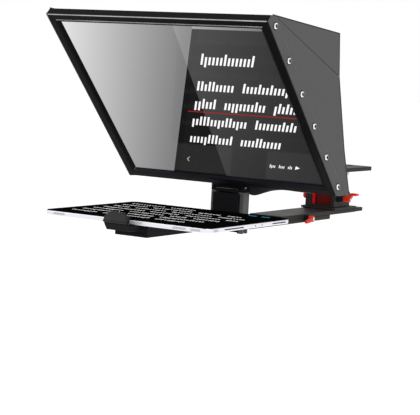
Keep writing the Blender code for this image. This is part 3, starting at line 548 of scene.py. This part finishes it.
def turn_into(shape, profile, place, steps=24):
    """Adds a profile of (radius, height) points, turned about the place's Z axis, to a shape."""
    rings = []
    for radius, height in profile:
        angles = [2 * math.pi * step / steps for step in range(steps)]
        points = [(radius * math.cos(a), radius * math.sin(a), height) for a in angles]
        if radius == 0.0:
            points = points[:1]
        rings.append([shape.verts.new(place @ Vector(point)) for point in points])
    for ring, following in zip(rings, rings[1:]):
        for step in range(steps):
            near = {ring[step % len(ring)]: 0, ring[(step + 1) % len(ring)]: 0}
            far = {following[(step + 1) % len(following)]: 0, following[step % len(following)]: 0}
            shape.faces.new([*near, *far])


def turned_set(name, profile, places, steps=24):
    """The same turned form at each of the places, as one mesh."""
    shape = bmesh.new()
    for place in places:
        turn_into(shape, profile, place, steps)
    return mesh_from(shape, name)


def facing(point, direction):
    """A place at the point whose Z axis is the direction."""
    turn = Vector(direction).to_track_quat("Z", "Y").to_matrix().to_4x4()
    return Matrix.Translation(point) @ turn


# A ribbon's outline, as shares of its width and height.
RIBBON = ((-0.5, 0.0), (-0.38, 0.75), (-0.15, 1.0), (0.15, 1.0), (0.38, 0.75), (0.5, 0.0))


def ribbon_into(shape, points, width, height, normal):
    """Adds a low strip with rounded edges that follows the points on a face with that normal."""
    normal = Vector(normal).normalized()
    rings = []
    for index, point in enumerate(points):
        run = points[min(index + 1, len(points) - 1)] - points[max(index - 1, 0)]
        side = run.normalized().cross(normal)
        rings.append([shape.verts.new(point + side * a * width + normal * b * height) for a, b in RIBBON])
    for ring, following in zip(rings, rings[1:]):
        for index in range(len(RIBBON)):
            after = (index + 1) % len(RIBBON)
            shape.faces.new((ring[index], ring[after], following[after], following[index]))
    shape.faces.new(rings[0])
    shape.faces.new(rings[-1])


# A knurled band's rings, as shares of its radius and length, and how deep its teeth are cut.
KNURL_RINGS = ((0.93, 0.0), (1.0, 0.12), (1.0, 0.88), (0.93, 1.0))
KNURL_CUT = 0.94


def knurled_band(name, place, radius, length, teeth):
    """A band of fine teeth about the place's Z axis, as on a thumb screw."""
    shape = bmesh.new()
    rings = []
    for share, height in KNURL_RINGS:
        ring = []
        for step in range(2 * teeth):
            reach = radius * share * (1.0 if step % 2 else KNURL_CUT)
            angle = math.pi * step / teeth
            point = Vector((reach * math.cos(angle), reach * math.sin(angle), height * length))
            ring.append(shape.verts.new(place @ point))
        rings.append(ring)
    for ring, following in zip(rings, rings[1:]):
        for step in range(2 * teeth):
            after = (step + 1) % (2 * teeth)
            shape.faces.new((ring[step], ring[after], following[after], following[step]))
    shape.faces.new(rings[0])
    shape.faces.new(rings[-1])
    return mesh_from(shape, name)


# ---------------------------------------------------------------- hood fittings

HOOD_REAR = ((-0.1916, 0.3071), (-0.1850, 0.2444), (-0.1532, 0.1358), (-0.1260, 0.0650))
SEAM_THROUGH = 0.0204
STITCH = 0.0024
STITCH_PITCH = 0.0038
STITCH_START = 0.004
STITCH_ROW = 0.330
THREAD_SIZE = (0.0005, 0.0003)
BINDING_SIZE = (0.0017, 0.0005)
BINDING_START = (0.3400, 0.0140)
SNAP_FACE = 0.1894
# A dark ring round each snap, as painted shade in the gap about it.
SNAP_SHADOW_RING = ((0.0042, 0.0), (0.0044, 0.0006), (0.0052, 0.0007), (0.0057, 0.0))
SNAP_CENTRE = ((0.0, 0.0003), (0.0016, 0.0003), (0.0024, 0.0001), (0.0026, 0.0))


def snap_places(name, side, face):
    """The middle of each snap on that side of the hood, at a distance face from the middle plane."""
    boxes = [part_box(f"snap_{name}_{number}") for number in range(1, 7)]
    return [
        facing((side * face, (low.y + high.y) / 2, (low.z + high.z) / 2), (side, 0, 0)) for low, high in boxes
    ]


def hood_fittings(name, side):
    """Each side's dark rings round the snaps as painted shade, the snap centres, the bound edge, and the row
    of stitches beside the snaps.
    """
    # The dark rings stand for the shade in the gap round each snap.
    rings = turned_set(f"snap_shadow_rings_{name}", SNAP_SHADOW_RING, snap_places(name, side, HOOD_FACE))
    add_piece(f"snap_shadow_rings_{name}", rings, DARK_SLOT, "hood", smooth=40)
    centres = turned_set(f"snap_centres_{name}", SNAP_CENTRE, snap_places(name, side, SNAP_FACE), 16)
    add_piece(f"snap_centres_{name}", centres, DARK_SLOT, "hood", smooth=40)

    face = side * HOOD_FACE
    edge = [on_glass(face, *BINDING_START)] + [Vector((face, y, z)) for y, z in HOOD_REAR]
    binding = bmesh.new()
    ribbon_into(binding, edge, *BINDING_SIZE, (side, 0, 0))
    edging = mesh_from(binding, f"hood_binding_{name}")
    add_piece(f"hood_binding_{name}", edging, RUBBER, "hood")

    thread = bmesh.new()
    for number in range(int(STITCH_ROW / STITCH_PITCH)):
        up = STITCH_START + number * STITCH_PITCH
        ends = [on_glass(face, up, SEAM_THROUGH), on_glass(face, up + STITCH, SEAM_THROUGH)]
        ribbon_into(thread, ends, *THREAD_SIZE, (side, 0, 0))
    stitches = mesh_from(thread, f"hood_stitches_{name}")
    add_piece(f"hood_stitches_{name}", stitches, PALE_LINE, "hood")


# ---------------------------------------------------------------- lens shroud

SHROUD_HALF = 0.1830
SHROUD_ROWS = 60
SHROUD_COLUMNS = 74
SHROUD_SIDE = ((-0.1950, 0.3030), (-0.1885, 0.2420), (-0.1565, 0.1350), (-0.1395, 0.0920))
SHROUD_HEM = ((-0.1560, 0.0745), (-0.1627, 0.0806))
COLLAR_RADIUS = 0.0417
COLLAR_TUBE = 0.0030
HOLE_RADIUS = 0.0420
HOLE_CELLS = 8
GATHER_CELLS = 14
COLLAR_STEPS = 144
COLLAR_SIDES = 10
COLLAR_GATHERS = 36.0
CLOTH_GATHERS = 26.0
CLOTH_THICKNESS = 0.0008
SLACK_EDGE = 6.0
RIPPLE = 0.0010
GATHER_HEIGHT = 0.0009
# The slack fold under the frame: its lowest height, and how far, where and how widely it sags.
FOLD_LOW = 0.0725
FOLD_SAG = 0.0125
FOLD_MIDDLE = 0.030
FOLD_SPREAD = 0.024
SETTLE_FRAMES = 20
LONGEST_MOVE = 0.005
CLOTH_SETTINGS = {
    "quality": 6,
    "mass": 0.15,
    "tension_stiffness": 40.0,
    "compression_stiffness": 40.0,
    "shear_stiffness": 20.0,
    "bending_stiffness": 1.5,
    "vertex_group_mass": "pinned",
}


def shroud_profile(x):
    """The panel's (y, z) line at that x: down the hood's back, round a slack fold and up to the frame."""
    sag = FOLD_SAG * math.exp(-(((x - FOLD_MIDDLE) / FOLD_SPREAD) ** 2))
    lower_side = max(0.0, min(1.0, (x + 0.020) / 0.050))
    low = FOLD_LOW - sag - 0.0060 * lower_side + 0.0006 * math.sin(x * 90.0)
    return [*SHROUD_SIDE, (-0.1400, low + 0.0040), (-0.1460, low), *SHROUD_HEM]


def line_length(line):
    return sum(math.dist(a, b) for a, b in zip(line, line[1:]))


def on_line(line, left):
    """The point that far along the line."""
    for a, b in zip(line, line[1:]):
        step = math.dist(a, b)
        if left <= step:
            break
        left -= step
    return [p + (q - p) * min(1.0, left / step) for p, q in zip(a, b)]


def lens_distance():
    """How far down the panel the lens hole's middle is."""
    low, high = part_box("lens_collar")
    (y0, z0), (y1, z1), (y2, z2) = SHROUD_SIDE[:3]
    share = (z1 - (low.z + high.z) / 2) / (z1 - z2)
    return math.dist((y0, z0), (y1, z1)) + math.dist((y1, z1), (y2, z2)) * share


def shroud_grid(length):
    """The panel's points by (column, row). Near the lens hole the grid's square rings turn round, and the
    cloth lies in small gathers."""
    cell = length / SHROUD_ROWS
    middle_column = SHROUD_COLUMNS // 2
    centre = lens_distance()
    middle_row = round(centre / cell)
    side_length = line_length(SHROUD_SIDE)
    points = {}
    for column in range(SHROUD_COLUMNS + 1):
        for row in range(SHROUD_ROWS + 1):
            across, down = column - middle_column, row - middle_row
            ring = max(abs(across), abs(down))
            if ring < HOLE_CELLS:
                continue
            x = SHROUD_HALF * (2.0 * column / SHROUD_COLUMNS - 1.0)
            run = row * cell
            angle = math.atan2(down, across)
            pull = max(0.0, 1.0 - (ring - HOLE_CELLS) / (GATHER_CELLS - HOLE_CELLS))
            reach = HOLE_RADIUS + (ring - HOLE_CELLS) * cell
            x += (reach * math.cos(angle) - x) * pull
            run += (centre + reach * math.sin(angle) - run) * pull
            line = shroud_profile(x)
            if run > side_length:
                tail = line_length(line) - side_length
                run = side_length + (run - side_length) * tail / (length - side_length)
            y, z = on_line(line, run)
            edge = min(column, SHROUD_COLUMNS - column, row) / SLACK_EDGE
            slack = min(1.0, edge) * (1.0 - pull)
            y += RIPPLE * slack * math.sin(x * 37.0 + z * 21.0 + 0.8) * math.sin(z * 52.0 - x * 11.0 + 1.3)
            y += GATHER_HEIGHT * pull * (1.0 - pull) * 4.0 * math.sin(angle * CLOTH_GATHERS)
            points[column, row] = (x, y, z)
    return points


def settle(obj, pinned):
    """Lets the cloth hang from its pinned points for a few frames, and keeps small moves only."""
    group = obj.vertex_groups.new(name="pinned")
    group.add(pinned, 1.0, "REPLACE")
    cloth = obj.modifiers.new("cloth", "CLOTH")
    for setting, value in CLOTH_SETTINGS.items():
        setattr(cloth.settings, setting, value)
    cloth.point_cache.frame_end = SETTLE_FRAMES
    for frame_number in range(1, SETTLE_FRAMES + 1):
        bpy.context.scene.frame_set(frame_number)
    hung = obj.evaluated_get(bpy.context.evaluated_depsgraph_get()).to_mesh()
    moved = [hung.vertices[index].co - vertex.co for index, vertex in enumerate(obj.data.vertices)]
    for vertex, step in zip(obj.data.vertices, moved):
        vertex.co += step * min(1.0, LONGEST_MOVE / max(step.length, 0.000001))
    obj.modifiers.remove(cloth)
    bpy.context.scene.frame_set(1)


def rim_points(faces):
    """The points on the cloth's outer edges and round its lens hole, where only one face meets each edge."""
    uses = {}
    for face in faces:
        for pair in zip(face, face[1:] + face[:1]):
            uses[frozenset(pair)] = uses.get(frozenset(pair), 0) + 1
    return sorted({index for pair, count in uses.items() if count == 1 for index in pair})


def lens_shroud():
    """The black stretch-cloth panel that closes the hood's back, and its elastic collar."""
    length = line_length(shroud_profile(0.0))
    points = shroud_grid(length)
    order = {key: index for index, key in enumerate(points)}
    faces = [
        (order[c, r], order[c + 1, r], order[c + 1, r + 1], order[c, r + 1])
        for c, r in points
        if all(key in order for key in ((c + 1, r), (c + 1, r + 1), (c, r + 1)))
    ]
    mesh = bpy.data.meshes.new("lens_shroud_cloth")
    mesh.from_pydata(list(points.values()), [], faces)
    cloth = add_piece("lens_shroud_cloth", mesh, MATERIALS["shroud_cloth"], None, smooth=60)
    settle(cloth, rim_points(faces))
    thick = cloth.modifiers.new("thickness", "SOLIDIFY")
    thick.thickness = CLOTH_THICKNESS
    thick.offset = 0.0
    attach(cloth, "hood")
    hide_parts("lens_shroud")

    band, finish = collar_band(), MATERIALS["shroud_cloth"]
    collar = add_piece("lens_collar_band", band, finish, "hood", smooth=60)
    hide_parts("lens_collar")


def collar_band():
    """The elastic band round the lens hole, drawn up in gathers."""
    (y1, z1), (y2, z2) = SHROUD_SIDE[1:3]
    y, z = on_line(SHROUD_SIDE, lens_distance())
    place = facing((0.0, y, z), (0.0, z1 - z2, y2 - y1))
    shape = bmesh.new()
    rings = []
    for step in range(COLLAR_STEPS):
        angle = 2 * math.pi * step / COLLAR_STEPS
        tube = COLLAR_TUBE * (0.88 + 0.12 * math.cos(angle * COLLAR_GATHERS))
        ring = []
        for turn in range(COLLAR_SIDES):
            around = 2 * math.pi * turn / COLLAR_SIDES
            reach = COLLAR_RADIUS + tube * math.cos(around)
            point = Vector((reach * math.cos(angle), reach * math.sin(angle), tube * math.sin(around)))
            ring.append(shape.verts.new(place @ point))
        rings.append(ring)
    for ring, following in zip(rings, rings[1:] + rings[:1]):
        for turn in range(COLLAR_SIDES):
            after = (turn + 1) % COLLAR_SIDES
            shape.faces.new((ring[turn], ring[after], following[after], following[turn]))
    return mesh_from(shape, "lens_collar_band")


# ---------------------------------------------------------------- screws, knurls and the tablet's fittings

SCREW_HEAD = ((0.0, 0.0002), (0.42, 0.0002), (0.46, 0.0013), (0.80, 0.0011), (1.0, 0.0003), (1.0, 0.0))
# Each small screw: the body that it rides, its radius, its place and the way it faces.
SCREWS = (
    ("rail_lever", 0.0030, (0.0458, 0.0380, 0.0068), (1, 0, 0)),
    ("riser_wing", 0.0026, (0.0524, 0.1600, 0.0345), (1, 0, 0)),
    ("column_lever", 0.0026, (0.0446, -0.1620, 0.0200), (1, 0, 0)),
    ("slide_plate", 0.0024, (-0.0200, 0.2165, 0.0180), (0, 0, 1)),
    ("slide_plate", 0.0024, (0.0200, 0.2165, 0.0180), (0, 0, 1)),
    ("slide_plate", 0.0024, (-0.0200, 0.2510, 0.0140), (0, 0, 1)),
    ("slide_plate", 0.0024, (0.0200, 0.2510, 0.0140), (0, 0, 1)),
)
# Each mark on the tablet's right edge and front edge: its middle along the edge, its length and its height.
RIGHT_MARKS = (
    (-0.385, 0.052, 0.0016),
    (-0.326, 0.0022, 0.0022),
    (-0.307, 0.0022, 0.0022),
    (-0.256, 0.040, 0.0016),
)
RIGHT_PILLS = ((-0.434, 0.013, 0.0034),)
FRONT_PILLS = ((-0.112, 0.020, 0.0030), (0.092, 0.022, 0.0030), (0.118, 0.016, 0.0030))


# Each knurled band: how far along its axis it starts, then its radius, its length and its teeth.
KNOB_KNURL = (0.0010, 0.0055, 0.0044, 22)
CAMERA_SCREW_KNURL = (0.0014, 0.0096, 0.0062, 40)
STADIUM_STEPS = 16
MARK_SUNK = 0.0002
MARK_PROUD = 0.00015
TABLET_CAMERA = (-0.134, -0.336)
TABLET_LENS = ((0.0, 0.0002), (0.0012, 0.0002), (0.0018, 0.0))
# The clamp lip's face: its foot's and tip's middles, and its right side as (half width, share of the way up).
LIP_FOOT = (0.0, -0.4748, 0.0283)
LIP_TIP = (0.0, -0.4665, 0.0428)
LIP_SIDE = ((0.0172, 0.10), (0.0172, 0.54), (0.0108, 0.88))
LIP_SUNK = 0.0001
LIP_PROUD = 0.0004
HOOK_PAD_HALF = 0.0085
HOOK_PAD_REACH = (-0.4515, -0.4487)
HOOK_PAD_RISE = (0.0003, 0.0011)


def small_screws():
    for number, (ridden, radius, place, direction) in enumerate(SCREWS, start=1):
        profile = [(share * radius, height) for share, height in SCREW_HEAD]
        mesh = turned_set(f"screw_{number}", profile, [facing(place, direction)], 20)
        add_piece(f"screw_{number}", mesh, MATERIALS["bare_steel"], ridden, smooth=40)


def knurls():
    low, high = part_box("riser_knob")
    place = facing((low.x, (low.y + high.y) / 2, (low.z + high.z) / 2), (1, 0, 0))
    start, *size = KNOB_KNURL
    mesh = knurled_band("riser_knob_knurl", place @ Matrix.Translation((0, 0, start)), *size)
    add_piece("riser_knob_knurl", mesh, MATERIALS["red_anodised"], "riser_knob")
    low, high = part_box("camera_screw")
    start, *size = CAMERA_SCREW_KNURL
    place = facing(((low.x + high.x) / 2, (low.y + high.y) / 2, low.z + start), (0, 0, 1))
    mesh = knurled_band("camera_screw_knurl", place, *size)
    add_piece("camera_screw_knurl", mesh, MATERIALS["bare_steel"], "camera_screw")


def stadium_into(shape, middle, along, normal, length, height):
    """Adds a thin plate with round ends that stands just off a face."""
    along, normal = Vector(along), Vector(normal)
    up = normal.cross(along)
    radius = height / 2
    ring = []
    for step in range(STADIUM_STEPS):
        angle = 2 * math.pi * (step + 0.5) / STADIUM_STEPS
        end = math.copysign(max(0.0, length / 2 - radius), math.cos(angle))
        ring.append(Vector(middle) + along * (end + radius * math.cos(angle)) + up * radius * math.sin(angle))
    low = [shape.verts.new(point - normal * MARK_SUNK) for point in ring]
    high = [shape.verts.new(point + normal * MARK_PROUD) for point in ring]
    for index in range(STADIUM_STEPS):
        after = (index + 1) % STADIUM_STEPS
        shape.faces.new((low[index], low[after], high[after], high[index]))
    shape.faces.new(low)
    shape.faces.new(high)


def tablet_fittings():
    """The slots, port and buttons in the tablet's edges, and its camera."""
    low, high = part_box("tablet_body")
    middle = (low.z + high.z) / 2
    slots, pills = bmesh.new(), bmesh.new()
    for y, length, height in RIGHT_MARKS:
        stadium_into(slots, (high.x, y, middle), (0, 1, 0), (1, 0, 0), length, height)
    for y, length, height in RIGHT_PILLS:
        stadium_into(pills, (high.x, y, middle), (0, 1, 0), (1, 0, 0), length, height)
    for x, length, height in FRONT_PILLS:
        stadium_into(pills, (x, low.y, middle), (1, 0, 0), (0, -1, 0), length, height)
    add_piece("tablet_slots", mesh_from(slots, "tablet_slots"), DARK_SLOT, "tablet")
    add_piece("tablet_buttons", mesh_from(pills, "tablet_buttons"), BUTTON_GREY, "tablet")
    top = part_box("tablet_sheet")[1].z
    lens = turned_set("tablet_camera", TABLET_LENS, [facing((*TABLET_CAMERA, top), (0, 0, 1))])
    add_piece("tablet_camera", lens, DARK_SLOT, "tablet", smooth=40)


def jaw_pads():
    """The soft face on the clamp's lip, which is blank, and the pad under its hook."""
    foot, tip = Vector(LIP_FOOT), Vector(LIP_TIP)
    up = (tip - foot).normalized()
    out = Vector((1.0, 0.0, 0.0)).cross(up)
    long = (tip - foot).length
    outline = (*LIP_SIDE, *((-x, share) for x, share in reversed(LIP_SIDE)))
    shape = bmesh.new()
    face = [foot + Vector((x, 0.0, 0.0)) + up * share * long for x, share in outline]
    inner = [shape.verts.new(point - out * LIP_SUNK) for point in face]
    outer = [shape.verts.new(point + out * LIP_PROUD) for point in face]
    for index in range(len(face)):
        after = (index + 1) % len(face)
        shape.faces.new((inner[index], inner[after], outer[after], outer[index]))
    shape.faces.new(inner)
    shape.faces.new(outer)
    add_piece("jaw_face", mesh_from(shape, "jaw_face"), LIP_GREY, "jaw")
    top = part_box("tablet_sheet")[1].z
    low, high = (
        (side * HOOK_PAD_HALF, y, top + rise) for side, y, rise in zip((-1, 1), HOOK_PAD_REACH, HOOK_PAD_RISE)
    )
    pad = rounded_block("jaw_hook_pad", low, high, 0.0003)
    add_piece("jaw_hook_pad", pad, RUBBER, "jaw")


dress_nodes()
for side_name, side_sign in (("left", -1), ("right", 1)):
    hood_fittings(side_name, side_sign)
lens_shroud()
small_screws()
knurls()
tablet_fittings()
jaw_pads()


# ---------------------------------------------------------------- camera, light and floor

CAMERA_PLACE = Vector((1.148, -2.121, 0.245))
CAMERA_AZIMUTH = math.radians(31.143)
CAMERA_ELEVATION = math.radians(5.392)
CAMERA_ROLL = math.radians(3.084)
CAMERA_LENS = 125.28
FLOOR_HEIGHT = -0.50
FLOOR_RADIUS = 45.0
# Each softbox: its name, its place, the point that it faces, its size in metres and its power in watts.
SOFTBOXES = (
    ("key_light", (2.2, -1.6, 2.2), (0.0, -0.1, 0.15), (1.6, 1.6), 45.0),
    ("fill_light", (-2.2, -2.2, 1.4), (0.0, -0.1, 0.15), (1.8, 1.8), 18.0),
    ("back_light", (0.6, 2.4, 1.9), (0.0, 0.0, 0.15), (1.6, 1.2), 25.0),
)


def add_camera():
    camera = bpy.data.objects.new("camera", bpy.data.cameras.new("camera"))
    camera.data.lens = CAMERA_LENS
    camera.data.sensor_width = 36.0
    camera.data.clip_end = 100.0
    level = math.cos(CAMERA_ELEVATION)
    ahead = Vector(
        (
            -math.sin(CAMERA_AZIMUTH) * level,
            math.cos(CAMERA_AZIMUTH) * level,
            -math.sin(CAMERA_ELEVATION),
        )
    )
    right = ahead.cross(Vector((0.0, 0.0, 1.0))).normalized()
    up = right.cross(ahead)
    turned_right = right * math.cos(CAMERA_ROLL) + up * math.sin(CAMERA_ROLL)
    turned_up = up * math.cos(CAMERA_ROLL) - right * math.sin(CAMERA_ROLL)
    turn = Matrix((turned_right, turned_up, -ahead)).transposed().to_4x4()
    camera.matrix_world = Matrix.Translation(CAMERA_PLACE) @ turn
    bpy.context.scene.collection.objects.link(camera)
    bpy.context.scene.camera = camera


def add_softbox(name, place, target, size, power):
    light = bpy.data.objects.new(name, bpy.data.lights.new(name, "AREA"))
    light.data.shape = "RECTANGLE"
    light.data.size, light.data.size_y = size
    light.data.energy = power
    way = Vector(target) - Vector(place)
    light.matrix_world = Matrix.Translation(place) @ way.to_track_quat("-Z", "Y").to_matrix().to_4x4()
    bpy.context.scene.collection.objects.link(light)


def add_studio():
    world = bpy.data.worlds.new("studio")
    world.use_nodes = True
    background = world.node_tree.nodes["Background"]
    background.inputs["Color"].default_value = grey(1.0)
    background.inputs["Strength"].default_value = 1.0
    bpy.context.scene.world = world
    for softbox in SOFTBOXES:
        add_softbox(*softbox)

    shape = bmesh.new()
    bmesh.ops.create_circle(shape, cap_ends=True, segments=96, radius=FLOOR_RADIUS)
    bmesh.ops.translate(shape, vec=(0.0, 0.0, FLOOR_HEIGHT), verts=shape.verts)
    floor = bpy.data.objects.new("floor", mesh_from(shape, "floor"))
    graph = Graph("floor_paper")
    specks = graph.noise(300.0, 3.0)
    floor_tone = graph.mix(specks, grey(0.86), grey(0.90))
    graph.set(Base_Color=floor_tone, Roughness=0.9, Emission_Color=grey(1.0), Emission_Strength=0.16)
    floor.data.materials.append(graph.material)
    bpy.context.scene.collection.objects.link(floor)


add_camera()
add_studio()
bpy.context.scene.view_settings.view_transform = "Standard"
